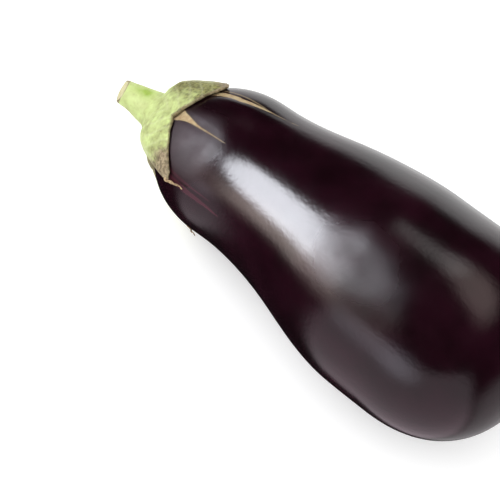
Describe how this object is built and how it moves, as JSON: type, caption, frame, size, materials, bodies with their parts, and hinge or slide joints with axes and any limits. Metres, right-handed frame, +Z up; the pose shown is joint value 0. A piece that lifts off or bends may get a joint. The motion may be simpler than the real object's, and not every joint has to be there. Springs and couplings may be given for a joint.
{
  "type": "eggplant",
  "caption": "Whole dark purple eggplant lying on its side, slim neck and full belly, with its lobed green calyx and a short cut stem.",
  "frame": {"origin": "centre of the box's underside, on the surface that the eggplant lies on", "axes": "+X along the length from the stem to the blossom end, +Z up, so the eggplant lies on its belly and the edge of its calyx"},
  "size_m": [0.2226, 0.0924, 0.0943],
  "materials": {
    "skin": "smooth waxy skin, near-black purple, glossy, with tan streaks under the calyx",
    "calyx_green": "matte fleshy green, finely pitted, with dry tan edges",
    "stem_green": "matte pale green, lightly ridged, with a dry pale cut end"
  },
  "bodies": {
    "root": {"fruit": "skin", "calyx": "calyx_green", "stem": "stem_green"}
  },
  "joints": []
}
